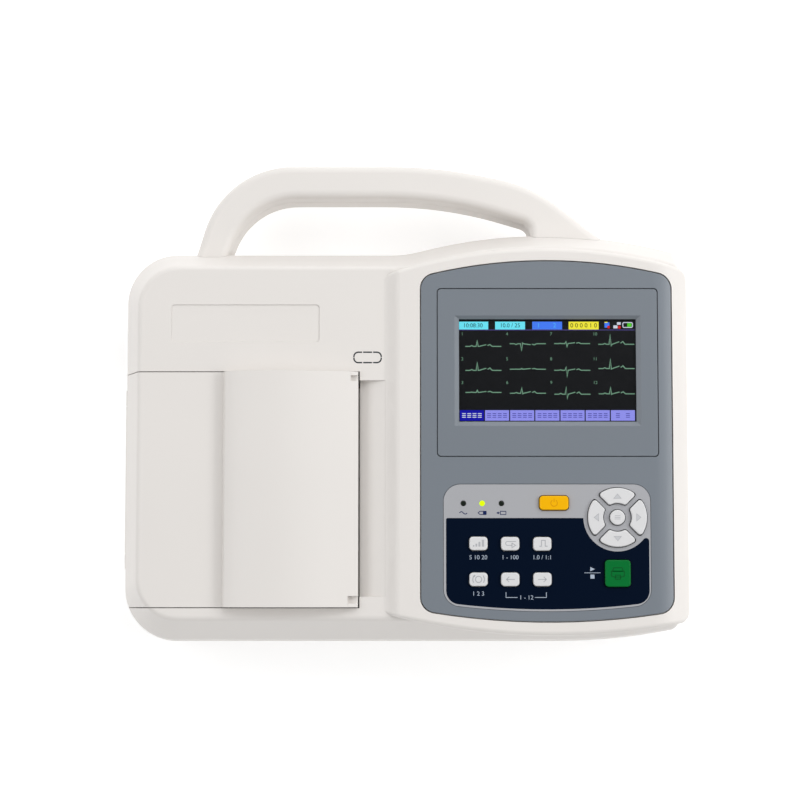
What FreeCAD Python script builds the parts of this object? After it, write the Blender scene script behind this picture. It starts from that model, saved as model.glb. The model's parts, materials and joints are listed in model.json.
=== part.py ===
"""ECG recorder with carrying handle, built as an assembly of separate parts.

Millimetres, +Z up, screen at the right, paper cover at the left, handle at the back (+Y).
The origin is the centre of the bounding box in plan, on the table.
"""
import FreeCAD, Part
import math
import os
from FreeCAD import Vector as V

os.makedirs("parts", exist_ok=True)

# ---------------------------------------------------------------- driving dimensions
WALL = 2.5              # moulded wall
GAP = 0.4               # seam between separate panels
Z_FOOT = 3.0            # height of the rubber feet
Z_PART = 34.0           # parting plane of the two case halves
Z_RIM = 46.0            # top of the upright outer wall
Z_TOP = 66.0            # platform on the paper side
Z_BLOCK = 70.0          # raised block on the screen side

X_LEFT, X_RIGHT = -148.5, 145.4      # outer wall of the lower body
X_BLOCK = 148.5                      # raised block overhangs the wall on the right
Y_BACK, Y_FRONT = 79.6, -126.4       # straight stretches of the outer wall
R_CORNER, R_CORNER_R = 27.5, 5.0
BACK_C, BACK_R = (74.0, -171.9), 262.0     # bowed back wall behind the screen
FRONT_C, FRONT_R = (80.0, 196.6), 323.0    # bowed front wall
R_BLEND = 60.0                             # straight back wall runs into the bow

RIM_DRAFT = 1.2                            # the upright wall leans in this much up to the rim
PLAT_L, PLAT_B, PLAT_F = 9.1, 10.1, 11.6   # how far the platform edge is set in from the wall
PLAT_R = 1.5
SIDE_Y = 140.0                             # beyond the body in Y on either side

BLK_BACK_C, BLK_BACK_R = (72.5, -176.5), 256.0
BLK_FRONT_C, BLK_FRONT_R = (77.0, 226.4), 350.0
BLK_X0, BLK_X1 = -11.0, -2.5               # S-shaped step from the platform to the block
ROLL_X, ROLL_R = 129.5, 24.0               # the block rolls off to the right

# handle
HANDLE_Z0, HANDLE_Z1 = 14.0, 49.0
HANDLE_BACK = 126.4
LEG_SLOPE = 3.27                           # rise over run of the left leg
ARM_MID, ARM_BEND, ARM_END = 16.2, (68.0, 116.0), (107.4, 84.9)
HOLE_BACK = 109.2                          # back edge of the finger opening

# label recess in the platform and ramp beside the cover
LABEL = (-122.2, -44.7, 29.8, 49.4)
LABEL_DEPTH = 0.4
RAMP_X0, RAMP_X1, RAMP_LOW = -24.0, -10.2, 61.3
RAMP_Y0, RAMP_Y1 = -103.0, 9.6
SLOT_X = -23.6                             # edge of the case along the cover's tear edge

# paper cover
CV_Y0, CV_Y1 = -108.7, 14.1
CV_X1 = -24.3
CV_EDGE = 46.2
HINGE = (-146.3, 40.0)
HINGE_R, PIN_R = 2.2, 1.0
BARREL_Y = (-80.0, -2.0)
END_Y = 8.0                                # length of each outer hinge barrel
COVER_T = 2.4
COVER_FLAT_X = -94.5                       # the flat part of the cover ends here, the bulge starts
CORNER_FLAT_Z = 67.6                       # small flats at the two corners of the tear edge
RIB_Y = (6.6, -106.4)                      # ribs that carry the platen bushes
RIB_T = 2.0

# printer
PAPER_Y0, PAPER_Y1 = -104.0, 6.0
PLATEN = (-31.2, 56.0)
PLATEN_R, SHAFT_R = 6.0, 2.5
ROLL = (-63.0, 44.0)
ROLL_OD, CORE_OD, CORE_ID = 50.0, 16.0, 12.7
MODULE = 0.7
Z_PLATEN, Z_IDLER, Z_PINION = 18, 24, 14
GEAR_Y0, GEAR_Y1 = 9.0, 12.5
PRESSURE = math.radians(20)
BACKLASH = 0.12
SHAFT_PLAY = 0.05
MOTOR_SHAFT_R, IDLER_R, HUB_R = 1.5, 2.0, 6.3
CHASSIS_Y0, CHASSIS_Y1, SHEET = -107.0, 13.2, 2.0

# screen side
BEZEL_T = 3.2
BEZEL_GAP = 0.6                            # open seam round the bezel
FRAME_T = 1.8
FILM_T = 0.6                               # printed film over the key panel
FRAME = (17.1, 131.5, -30.2, 57.1)
FRAME_GAP = 0.5
WINDOW = (28.3, 120.5, -12.1, 41.4)        # visible screen
WINDOW_BEVEL = 2.4
KEY_TOP = 71.6
KEY_GAP = 0.4
KEY_FLANGE, RING_FLANGE = 1.1, 0.9
Z_FLANGE0, Z_FLANGE1 = 65.4, 66.4
LED_R, LED_Z0, LED_H = 1.45, 64.4, 5.8
MAT_Z, MAT_T = 63.2, 1.0
KEY_BOARD_Z, BOARD_T = 61.4, 1.6

# boards and battery
Z_BOARD = 18.0
Z_POWER = 12.0
PILOT_R = 1.25
WELL = (-138.6, -96.4, -86.0, 17.4)
DOOR_SCREW = (-117.5, 13.0)
SPEAKER = (92.0, 30.0)

# sockets
INLET_Y, INLET_Z = 35.0, 20.0
EARTH_Y, EARTH_Z = 8.0, 20.0
CUFF_Y0, CUFF_Y1 = -60.0, -20.0            # patient cable connector
CUFF_Z0, CUFF_Z1 = 19.7, 32.0

# ---------------------------------------------------------------- small helpers


def box(x0, x1, y0, y1, z0, z1):
    return Part.makeBox(x1 - x0, y1 - y0, z1 - z0, V(x0, y0, z0))


def cyl(r, h, pos, axis=(0, 0, 1)):
    return Part.makeCylinder(r, h, V(*pos), V(*axis))


def arc3(a, b, c):
    return Part.Arc(V(*a), V(*b), V(*c)).toShape()


def unit(dx, dy):
    n = math.hypot(dx, dy)
    return dx / n, dy / n


def arc_about(c, r, p, q, z):
    """Arc of circle (c, r) from p to q the short way."""
    m = unit((p[0] + q[0]) / 2 - c[0], (p[1] + q[1]) / 2 - c[1])
    return arc3((p[0], p[1], z), (c[0] + r * m[0], c[1] + r * m[1], z), (q[0], q[1], z))


def line(p, q, z):
    return Part.makeLine(V(p[0], p[1], z), V(q[0], q[1], z))


def prism(wire, h):
    return Part.Face(wire).extrude(V(0, 0, h))


def loft(w0, w1):
    return Part.makeLoft([w0, w1], True, True)


def rounded(x0, x1, y0, y1, r, z0, z1):
    """Upright rounded rectangle."""
    s = box(x0, x1, y0, y1, z0, z1)
    edges = [e for e in s.Edges if abs(e.Vertexes[0].Z - e.Vertexes[1].Z) > 1e-6]
    return s.makeFillet(r, edges) if r > 0 else s


def rounded_at(cx, cy, w, h, r, z0, z1):
    return rounded(cx - w / 2, cx + w / 2, cy - h / 2, cy + h / 2, r, z0, z1)


def profile_y(points, y0, y1):
    """Closed XZ polygon extruded along Y."""
    pts = [V(x, y0, z) for x, z in points]
    return Part.Face(Part.makePolygon(pts + pts[:1])).extrude(V(0, y1 - y0, 0))


def soften(shape, edges, radii):
    """Fillet with the first radius the edges accept."""
    for r in radii:
        try:
            s = shape.makeFillet(r, edges)
            if s.isValid() and s.Volume > 0:
                return s
        except Exception:
            continue
    return shape


def fuse(*shapes):
    s = shapes[0].multiFuse(list(shapes[1:])) if len(shapes) > 1 else shapes[0]
    return s.removeSplitter()


# ---------------------------------------------------------------- plan outlines


def body_outline(z, i, db=0.0, df=0.0, dl=0.0, dr=0.0):
    """Outline of the body in plan, set in by i; back, front, left and right can be set in further."""
    xl, xr = X_LEFT + i + dl, X_RIGHT - i - dr
    yb, yf = Y_BACK - i - db, Y_FRONT + i + df
    rc = R_CORNER - i - min(dl, 6)
    rr = max(R_CORNER_R - i, 1.5)
    rb, rf, rbl = BACK_R - i - db, FRONT_R - i - df, R_BLEND + i
    bc, fc = BACK_C, FRONT_C
    # blend between the straight back and the bow
    xf = bc[0] - math.sqrt((rb + rbl) ** 2 - (yb + rbl - bc[1]) ** 2)
    u = unit(xf - bc[0], yb + rbl - bc[1])
    pb = (bc[0] + rb * u[0], bc[1] + rb * u[1])
    # right back corner
    cb = (xr - rr, bc[1] + math.sqrt((rb - rr) ** 2 - (xr - rr - bc[0]) ** 2))
    u = unit(cb[0] - bc[0], cb[1] - bc[1])
    pc = (bc[0] + rb * u[0], bc[1] + rb * u[1])
    # right front corner
    cf = (xr - rr, fc[1] - math.sqrt((rf - rr) ** 2 - (xr - rr - fc[0]) ** 2))
    u = unit(cf[0] - fc[0], cf[1] - fc[1])
    pf = (fc[0] + rf * u[0], fc[1] + rf * u[1])
    edges = [
        line((xl, yf + rc), (xl, yb - rc), z),
        arc_about((xl + rc, yb - rc), rc, (xl, yb - rc), (xl + rc, yb), z),
        line((xl + rc, yb), (xf, yb), z),
        arc_about((xf, yb + rbl), rbl, (xf, yb), pb, z),
        arc_about(bc, rb, pb, pc, z),
        arc_about(cb, rr, pc, (xr, cb[1]), z),
        line((xr, cb[1]), (xr, cf[1]), z),
        arc_about(cf, rr, (xr, cf[1]), pf, z),
        arc_about(fc, rf, pf, (fc[0], yf), z),
        line((fc[0], yf), (xl + rc, yf), z),
        arc_about((xl + rc, yf + rc), rc, (xl + rc, yf), (xl, yf + rc), z),
    ]
    return Part.Wire(edges)


def bow_outline(z, back_c, back_r, front_c, front_r, x0, x1, rl, rr):
    """Panel with bowed back and front edges and straight sides."""

    def corner(c, r, x, rad, sx, sy):
        cx = x - sx * rad
        cy = c[1] + sy * math.sqrt((r - rad) ** 2 - (cx - c[0]) ** 2)
        u = unit(cx - c[0], cy - c[1])
        return (cx, cy), (c[0] + r * u[0], c[1] + r * u[1])

    a, pa = corner(back_c, back_r, x0, rl, -1, 1)
    b, pb = corner(back_c, back_r, x1, rr, 1, 1)
    c, pc = corner(front_c, front_r, x1, rr, 1, -1)
    d, pd = corner(front_c, front_r, x0, rl, -1, -1)
    return Part.Wire([
        line((x0, d[1]), (x0, a[1]), z),
        arc_about(a, rl, (x0, a[1]), pa, z),
        arc_about(back_c, back_r, pa, pb, z),
        arc_about(b, rr, pb, (x1, b[1]), z),
        line((x1, b[1]), (x1, c[1]), z),
        arc_about(c, rr, (x1, c[1]), pc, z),
        arc_about(front_c, front_r, pc, pd, z),
        arc_about(d, rl, pd, (x0, d[1]), z),
    ])


def block_outline(z, i):
    return bow_outline(z, BLK_BACK_C, BLK_BACK_R - i, BLK_FRONT_C, BLK_FRONT_R - i,
                       BLK_X0 - 10 + i, X_BLOCK - i, 2.0, max(7.0 - i, 1.5))


def bezel_outline(z, i):
    return bow_outline(z, (74.0, -189.9), 262.0 - i, (75.0, 263.9), 380.0 - i,
                       8.1 + i, 139.3 - i, max(8.0 - i, 0.5), max(8.5 - i, 0.5))


def keypad_outline(z, i):
    """Straight back edge, bowed front edge."""
    x0, x1, y1 = 19.8 + i, 127.4 - i, -44.7 - i
    c, r, rad = (73.6, 289.2), 400.0 - i, 9.0 - i
    pts = []
    for sx, x in ((1, x1), (-1, x0)):
        cx = x - sx * rad
        cy = c[1] - math.sqrt((r - rad) ** 2 - (cx - c[0]) ** 2)
        u = unit(cx - c[0], cy - c[1])
        pts.append(((cx, cy), (c[0] + r * u[0], c[1] + r * u[1])))
    (cr, pr), (cl, pl) = pts
    return Part.Wire([
        line((x0, cl[1]), (x0, y1 - rad), z),
        arc_about((x0 + rad, y1 - rad), rad, (x0, y1 - rad), (x0 + rad, y1), z),
        line((x0 + rad, y1), (x1 - rad, y1), z),
        arc_about((x1 - rad, y1 - rad), rad, (x1 - rad, y1), (x1, y1 - rad), z),
        line((x1, y1 - rad), (x1, cr[1]), z),
        arc_about(cr, rad, (x1, cr[1]), pr, z),
        arc_about(c, r, pr, pl, z),
        arc_about(cl, rad, pl, (x0, cl[1]), z),
    ])


def round_corners(points, z):
    """Closed wire through (x, y, r) corners, each rounded by r."""
    n = len(points)
    tang = []
    for k in range(n):
        p, q, s = points[k - 1], points[k], points[(k + 1) % n]
        a, b = unit(p[0] - q[0], p[1] - q[1]), unit(s[0] - q[0], s[1] - q[1])
        ang = math.acos(max(-1, min(1, a[0] * b[0] + a[1] * b[1])))
        r = q[2]
        if r <= 0:
            tang.append((q[:2], q[:2], q[:2]))
            continue
        t = r / math.tan(ang / 2)
        m = unit(a[0] + b[0], a[1] + b[1])
        d = r / math.sin(ang / 2) - r
        tang.append(((q[0] + a[0] * t, q[1] + a[1] * t), (q[0] + m[0] * d, q[1] + m[1] * d),
                     (q[0] + b[0] * t, q[1] + b[1] * t)))
    edges = []
    for k in range(n):
        p_in, mid, p_out = tang[k]
        if p_in != p_out:
            edges.append(arc3((*p_in, z), (*mid, z), (*p_out, z)))
        nxt = tang[(k + 1) % n][0]
        if math.hypot(nxt[0] - p_out[0], nxt[1] - p_out[1]) > 1e-4:
            edges.append(line(p_out, nxt, z))
    return Part.Wire(edges)


def handle_outer(z, i):
    """Outside of the handle, set in by i; its legs run on into the body."""
    x_leg = -116.4 + i / math.sin(math.atan(LEG_SLOPE))
    y_back = HANDLE_BACK - i
    return round_corners([
        (x_leg, 60.0, 0),
        (x_leg + (y_back - 60.0) / LEG_SLOPE, y_back, 49.0 - i),
        (ARM_MID - 0.1 * i, y_back, 240.0 - i),
        (ARM_BEND[0] - 0.43 * i, ARM_BEND[1] - 0.935 * i, 80.0 - i),
        (ARM_END[0] - 0.9 * i, ARM_END[1] - 0.9 * i, 0),
        (100.0 - i, 60.0, 0),
    ], z)


def handle_hole(z, i):
    """Finger opening, grown by i."""
    return round_corners([
        (-103.6 - i, 55.0, 0),
        (-82.4 - 0.7 * i, HOLE_BACK + i, 36.0 + i),
        (22.0, HOLE_BACK + i, 217.0),
        (67.0 + i, HOLE_BACK - 13.5 + i, 6.5 + i),
        (67.0 + i, 55.0, 0),
    ], z)


# ---------------------------------------------------------------- case volumes


def under_surface(drop):
    """Everything below the block's top: S-step up from the platform, roll-off at the right."""
    z_top, z_low = Z_BLOCK - drop, Z_TOP - drop
    x_far, z_base, steps = X_BLOCK + 2, 30.0, 8
    pts = [(BLK_X0 - 12, z_base), (BLK_X0 - 12, z_low), (BLK_X0, z_low)]
    for k in range(1, steps):
        t = k / steps
        pts.append((BLK_X0 + (BLK_X1 - BLK_X0) * t, z_low + (z_top - z_low) * (3 - 2 * t) * t * t))
    face = [V(x, -SIDE_Y, z) for x, z in pts]
    spl = Part.BSplineCurve()
    spl.interpolate(face[2:] + [V(BLK_X1, -SIDE_Y, z_top)])
    a = math.asin((x_far - ROLL_X) / ROLL_R)
    zc = z_top - ROLL_R
    end = V(x_far, -SIDE_Y, zc + math.cos(a) * ROLL_R)
    mid = V(ROLL_X + ROLL_R * math.sin(a / 2), -SIDE_Y, zc + math.cos(a / 2) * ROLL_R)
    w = Part.Wire([
        Part.makeLine(face[0], face[1]),
        Part.makeLine(face[1], face[2]),
        spl.toShape(),
        Part.makeLine(V(BLK_X1, -SIDE_Y, z_top), V(ROLL_X, -SIDE_Y, z_top)),
        Part.Arc(V(ROLL_X, -SIDE_Y, z_top), mid, end).toShape(),
        Part.makeLine(end, V(x_far, -SIDE_Y, z_base)),
        Part.makeLine(V(x_far, -SIDE_Y, z_base), face[0]),
    ])
    return Part.Face(w).extrude(V(0, 240, 0))


def is_block_edge(e):
    """True for the long upper edges at the block's back and front."""
    b = e.BoundBox
    ends = b.YMin > 40 or b.YMax < -95
    return b.ZMin > Z_TOP - 5.6 and ends and b.XMax > BLK_X1 - 1 and b.XLength > 3


def upper_volume(i, top_drop, block_drop):
    """Volume of the upper case, set in by i."""
    lean = i + RIM_DRAFT
    rim = loft(body_outline(Z_PART, i), body_outline(Z_RIM - i, lean))
    edge = body_outline(Z_TOP - top_drop, i, PLAT_B, PLAT_F, PLAT_L, PLAT_R)
    flare = loft(body_outline(Z_RIM - i, lean), edge)
    blk = loft(block_outline(Z_RIM - 2 + i, i), block_outline(Z_BLOCK + 6, i + 0.8))
    blk = blk.common(under_surface(block_drop))
    if i == 0:
        top = [e for e in flare.Edges if min(v.Z for v in e.Vertexes) > Z_TOP - 0.1]
        flare = soften(flare, top, (3.0, 2.5, 2.0, 1.0))
        blk = soften(blk, [e for e in blk.Edges if is_block_edge(e)], (2.5, 2.0, 1.5, 1.0))
    return fuse(rim, flare, blk)


upper = upper_volume(0, 0, 0)
upper_in = upper_volume(WALL, WALL, 5.0)

Z_CHAMFER = 6.5
lower = fuse(loft(body_outline(Z_FOOT, 4.2), body_outline(Z_CHAMFER, 0.7)),
             loft(body_outline(Z_CHAMFER, 0.7), body_outline(Z_PART, 0)))
lower_in = loft(body_outline(Z_FOOT + WALL, 3.6), body_outline(Z_PART, WALL))


def handle_half(z0, z1, i, z_round):
    """Half of the handle between z0 and z1, set in by i; its outer edges at z_round are rounded."""
    s = prism(handle_outer(z0, i), z1 - z0).cut(prism(handle_hole(z0, i), z1 - z0))
    if i > 0:
        return s
    flat = [e for e in s.Edges if max(abs(e.BoundBox.ZMin - z_round), abs(e.BoundBox.ZMax - z_round)) < 1e-4]
    edges = [e for e in flat if e.BoundBox.YMin > 59.5 and e.BoundBox.YMax > 60.5]
    return soften(s, edges, (4.0, 3.5, 3.0, 2.0, 1.0))


handle_up = handle_half(Z_PART, HANDLE_Z1, 0, HANDLE_Z1)
handle_dn = handle_half(HANDLE_Z0, Z_PART, 0, HANDLE_Z0)
handle_up_in = handle_half(Z_PART, HANDLE_Z1 - WALL, WALL, 0)
handle_dn_in = handle_half(HANDLE_Z0 + WALL, Z_PART, WALL, 0)


# ---------------------------------------------------------------- shared positions
SCREWS = [(-118, 62), (-14, 66), (134, 62), (136, -111), (-14, -117), (-118, -117)]
FEET = [(-121, -102), (-124, 47), (122, -103), (120, 60)]
BOARD_POSTS = [(12, -98), (12, 60), (118, 60), (128, -98)]
POWER_POSTS = [(-122, 27), (-104, 58), (-45, 27), (-45, 58)]
CHASSIS_POSTS = [(-84, -100), (-84, 6), (-19.5, -96), (-40, 6)]
KEYPAD_POSTS = [(25.5, -66), (46.2, -101), (90.5, -84), (122, -84)]
LEDS = [(30.3, -54.8), (40.0, -54.8), (50.0, -54.8)]

CX_PAD, CY_PAD = 110.0, -62.1        # centre of the ring of arrow keys
PAD_R1, PAD_R0, PAD_SLIT = 15.3, 7.4, 1.5
MENU_R = 3.9
SMALL = (9.4, 7.0)
KEYS = {
    "key_sens": (38.0, -75.6, *SMALL),
    "key_recall": (54.4, -75.7, *SMALL),
    "key_copy": (71.0, -75.8, *SMALL),
    "key_mode": (38.0, -94.1, *SMALL),
    "key_prev": (54.4, -94.1, *SMALL),
    "key_next": (71.0, -94.1, *SMALL),
    "key_power": (77.2, -54.6, 15.0, 7.3),
    "key_start": (109.95, -91.0, 13.2, 13.8),
}
KEY_R = 1.9
RING = ("key_up", "key_left", "key_down", "key_right")
KEY_NAMES = [*KEYS, "key_menu", *RING]


def sector(side, grow, z0, z1):
    """One arrow key of the ring; side 0 is +Y, then counter-clockwise."""
    h = z1 - z0
    ring = cyl(PAD_R1 + grow, h, (0, 0, z0)).cut(cyl(PAD_R0 - grow, h, (0, 0, z0)))
    a = (PAD_SLIT - grow) * math.sqrt(2)
    tri = Part.makePolygon([V(0, a, z0), V(30, a + 30, z0), V(-30, a + 30, z0), V(0, a, z0)])
    s = ring.common(Part.Face(tri).extrude(V(0, 0, h)))
    up = [e for e in s.Edges if e.BoundBox.ZLength > h - 1e-3 and e.BoundBox.XLength < 0.01]
    s = soften(s, up, (1.5, 1.2, 0.8))
    s.rotate(V(0, 0, 0), V(0, 0, 1), 90 * side)
    s.translate(V(CX_PAD, CY_PAD, 0))
    return s


def key_block(name, grow, z0, z1):
    """Upright outline of a key grown sideways."""
    if name in KEYS:
        x, y, w, d = KEYS[name]
        return rounded_at(x, y, w + 2 * grow, d + 2 * grow, KEY_R + grow, z0, z1)
    if name == "key_menu":
        return cyl(MENU_R + grow, z1 - z0, (CX_PAD, CY_PAD, z0))
    return sector(RING.index(name), grow, z0, z1)


# ---------------------------------------------------------------- parts
parts = {}


def tube(r1, r0, y0, y1, c):
    """Round bar, or tube, along Y about (x, z)."""
    s = cyl(r1, y1 - y0, (c[0], y0, c[1]), (0, 1, 0))
    return s.cut(cyl(r0, y1 - y0, (c[0], y0, c[1]), (0, 1, 0))) if r0 else s


# --- upper case
BOSS_R, BOSS_H, BOSS_PILOT = 4.0, 30.0, 1.5
HINGE_Y0, HINGE_Y1 = BARREL_Y[0] - END_Y, BARREL_Y[1] + END_Y
case = upper.cut(upper_in)
ramp_back = [(SLOT_X, 59.4), (SLOT_X, Z_TOP), (-7.0, Z_TOP), (-7.0, 62.0), (-12.0, 62.0)]
case = fuse(case, profile_y(ramp_back, RAMP_Y0 - 2.2, RAMP_Y1 + 2.0))
ramp_room = [(RAMP_X0, RAMP_LOW), (RAMP_X1, Z_TOP + 0.02), (RAMP_X1, Z_TOP + 6), (RAMP_X0, Z_TOP + 6)]
case = case.cut(profile_y(ramp_room, RAMP_Y0, RAMP_Y1))
case = case.cut(box(-150, SLOT_X, CV_Y0 - 0.2, CV_Y1 + 0.2, Z_RIM - 0.6, 80))
case = case.cut(box(-150, -143.4, BARREL_Y[0] - GAP, BARREL_Y[1] + GAP, 37.2, Z_RIM + 1))
for y0 in (HINGE_Y0 - GAP, BARREL_Y[1] + GAP):
    case = case.fuse(tube(HINGE_R, 0, y0, y0 + END_Y, HINGE))
case = case.cut(tube(PIN_R, 0, HINGE_Y0, HINGE_Y1, HINGE))
case = case.cut(prism(bezel_outline(50, -BEZEL_GAP / 2), 30).cut(under_surface(BEZEL_T)))
case = case.cut(prism(bezel_outline(50, 5.0), 30))
case = case.cut(rounded(*LABEL, 1.8, Z_TOP - LABEL_DEPTH, Z_TOP + 2))
boss_room = upper_volume(1.2, 1.2, 1.5)
for x, y in SCREWS:
    case = case.fuse(cyl(BOSS_R, BOSS_H, (x, y, Z_PART)).common(boss_room))
for x, y in SCREWS:
    case = case.cut(cyl(BOSS_PILOT, 9, (x, y, Z_PART)))
parts["top_case"] = case.removeSplitter()
parts["handle_upper"] = handle_up.cut(handle_up_in).cut(upper)

# --- lower case
FLOOR = Z_FOOT + WALL
SINK = 0.5              # posts reach this far into the floor
above_seam = box(-160, 160, -SIDE_Y, SIDE_Y, Z_PART - GAP, Z_PART + 1)
low = lower.cut(lower_in).cut(above_seam)
for x, y in SCREWS:
    low = low.fuse(cyl(4.5, Z_PART - FLOOR + SINK, (x, y, FLOOR - SINK)))
for x, y in SCREWS:
    low = low.cut(cyl(3.2, 21, (x, y, Z_FOOT))).cut(cyl(1.7, 12, (x, y, 23.0)))
for x, y in BOARD_POSTS:
    low = low.fuse(cyl(3.0, Z_BOARD - FLOOR + SINK, (x, y, FLOOR - SINK)))
for x, y in BOARD_POSTS:
    low = low.cut(cyl(PILOT_R, 8, (x, y, Z_BOARD - 8)))
for x, y in POWER_POSTS:
    low = low.fuse(cyl(3.0, Z_POWER - FLOOR + SINK, (x, y, FLOOR - SINK)))
for x, y in CHASSIS_POSTS:
    low = low.fuse(cyl(3.5, 3.0, (x, y, FLOOR - SINK)))
for x, y in POWER_POSTS + CHASSIS_POSTS:
    low = low.cut(cyl(PILOT_R, 9.1, (x, y, FLOOR - 1.1)))
# battery well and its door
wx0, wx1, wy0, wy1 = WELL
low = low.fuse(box(wx0 - 2.4, wx1 + 2.4, wy0 - 2, wy0, FLOOR - SINK, 26))
low = low.fuse(box(wx1 + 0.4, wx1 + 2.4, wy0 - 2, 6, FLOOR - SINK, 26))
low = low.cut(box(*WELL, 0, FLOOR + 0.01))
low = low.fuse(box(-124, -111, 9.0, 21.0, FLOOR, 11.5))
low = low.cut(cyl(PILOT_R, 6.1, (*DOOR_SCREW, FLOOR - 0.1)))
# sockets: patient cable at the right, mains and earth at the left
low = low.cut(box(138, 150, CUFF_Y0 - 0.3, CUFF_Y1 + 0.3, CUFF_Z0, CUFF_Z1 + 0.3))
on_left_wall = FreeCAD.Matrix(0, 0, 1, -147, 1, 0, 0, INLET_Y, 0, 1, 0, INLET_Z, 0, 0, 0, 1)
low = low.cut(rounded(-13.8, 13.8, -10.3, 10.3, 0.4, -6, 6).transformGeometry(on_left_wall))
low = low.cut(cyl(3.1, 8, (-151, EARTH_Y, EARTH_Z), (1, 0, 0)))
# speaker slots and air slots
for k in range(-3, 4):
    y = SPEAKER[1] + 4 * k
    low = low.cut(box(SPEAKER[0] - 9, SPEAKER[0] + 9, y - 0.9, y + 0.9, 0, FLOOR + 1))
for k in range(5):
    low = low.cut(box(-84 + 9 * k, -80 + 9 * k, 40, 58, 0, FLOOR + 1))
parts["bottom_case"] = low.removeSplitter()
parts["handle_lower"] = handle_dn.cut(handle_dn_in).cut(lower).cut(above_seam)

# --- screen side
LAMP_CLEAR = 0.05
THROUGH = (60, 80)      # from below the panel to above it


def panel_holes(shape):
    """Cuts the key and lamp holes through a panel layer."""
    for name in KEY_NAMES:
        shape = shape.cut(key_block(name, KEY_GAP, *THROUGH))
    for x, y in LEDS:
        shape = shape.cut(cyl(LED_R + LAMP_CLEAR, 20, (x, y, THROUGH[0])))
    return shape


fx0, fx1, fy0, fy1 = FRAME
bez = prism(bezel_outline(50, BEZEL_GAP / 2), 30).common(under_surface(0)).cut(under_surface(BEZEL_T))
frame_bed = rounded(fx0 - FRAME_GAP, fx1 + FRAME_GAP, fy0 - FRAME_GAP, fy1 + FRAME_GAP, 2.2, *THROUGH)
bez = bez.cut(frame_bed.cut(under_surface(FRAME_T)))
bez = bez.cut(rounded(22.0, 126.8, -18.4, 47.6, 2.0, *THROUGH))
bez = bez.cut(prism(keypad_outline(60, 0), 20).cut(under_surface(FILM_T)))
bez = panel_holes(bez)
for x, y in KEYPAD_POSTS:
    bez = bez.fuse(cyl(2.2, 4.2, (x, y, 63.0))).cut(cyl(0.9, 4.5, (x, y, 63.0)))
parts["front_bezel"] = bez.removeSplitter()


def rect_wire(x0, x1, y0, y1, z):
    return Part.makePolygon([V(x0, y0, z), V(x1, y0, z), V(x1, y1, z), V(x0, y1, z), V(x0, y0, z)])


sx0, sx1, sy0, sy1 = WINDOW
z_glass = Z_BLOCK - FRAME_T
wide = rect_wire(sx0 - WINDOW_BEVEL, sx1 + WINDOW_BEVEL, sy0 - WINDOW_BEVEL, sy1 + 1.8, Z_BLOCK + 0.01)
frame = rounded(*FRAME, 1.8, *THROUGH).common(under_surface(0)).cut(under_surface(FRAME_T))
parts["display_frame"] = frame.cut(loft(rect_wire(*WINDOW, z_glass - 0.01), wide))
parts["screen_window"] = rounded(23.0, 125.8, -17.4, 46.6, 1.5, z_glass - 1.2, z_glass)
parts["lcd_panel"] = fuse(box(22.4, 126.4, -18.0, 47.2, 63.2, 66.4),
                          box(sx0 - 1, sx1 + 1, sy0 - 1, sy1 + 1, 66.4, 66.9))
film = prism(keypad_outline(60, 0.25), 20).common(under_surface(0)).cut(under_surface(FILM_T))
parts["keypad_overlay"] = panel_holes(film)


def led(x, y):
    s = cyl(LED_R, LED_H, (x, y, LED_Z0))
    return s.makeFillet(0.5, [e for e in s.Edges if e.BoundBox.ZMin > LED_Z0 + LED_H - 0.1])


parts["led_off"] = Part.makeCompound([led(*LEDS[0]), led(*LEDS[2])])
parts["led_on"] = led(*LEDS[1])

for n in KEY_NAMES:
    cap = key_block(n, 0, Z_FLANGE0, KEY_TOP)
    cap = soften(cap, [e for e in cap.Edges if e.BoundBox.ZMin > KEY_TOP - 0.01], (0.6, 0.4, 0.2))
    flange = KEY_FLANGE if n in KEYS else RING_FLANGE
    parts[n] = fuse(cap, key_block(n, flange, Z_FLANGE0, Z_FLANGE1))

mat = prism(keypad_outline(MAT_Z, 2.0), MAT_T)
for x, y in KEYPAD_POSTS:
    mat = mat.cut(cyl(2.6, 3, (x, y, MAT_Z - 1)))
for x, y in LEDS:
    mat = mat.cut(cyl(1.8, 3, (x, y, MAT_Z - 1)))
parts["keypad_mat"] = mat
board = prism(keypad_outline(KEY_BOARD_Z, 2.0), BOARD_T)
for x, y in KEYPAD_POSTS:
    board = board.cut(cyl(1.05, 3, (x, y, KEY_BOARD_Z - 0.4)))
parts["keypad_board"] = fuse(board, box(50, 74, -88, -82, KEY_BOARD_Z - 3.0, KEY_BOARD_Z),
                             box(84, 96, -104, -98, KEY_BOARD_Z - 3.5, KEY_BOARD_Z))

# --- paper cover
CREST = [(-93.6, 70.2), (-86, 73.6), (-75, 75.9), (-62, 76.8), (-48, 75.3), (-36, 72.4), (CV_X1, 69.2)]
CY0, CY1 = CV_Y0 + 0.2, CV_Y1 - 0.2


def bulge_volume(drop, x_right, x_left, z_low, foot):
    """Volume under the bulge's crest line, lowered by drop and drawn in to x_left and x_right."""
    ratio = (x_right - x_left) / (CREST[-1][0] - CREST[0][0])
    pts = [V(x_left + (x - CREST[0][0]) * ratio, CY0, z - drop) for x, z in CREST]
    spl = Part.BSplineCurve()
    spl.interpolate(pts)
    a, b = V(foot[0], CY0, foot[1]), V(foot[0], CY0, z_low)
    c = V(x_right, CY0, z_low)
    w = Part.Wire([
        spl.toShape(),
        Part.makeLine(pts[-1], c),
        Part.makeLine(c, b),
        Part.makeLine(b, a),
        Part.makeLine(a, pts[0]),
    ])
    return Part.Face(w).extrude(V(0, CY1 - CY0, 0))


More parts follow.
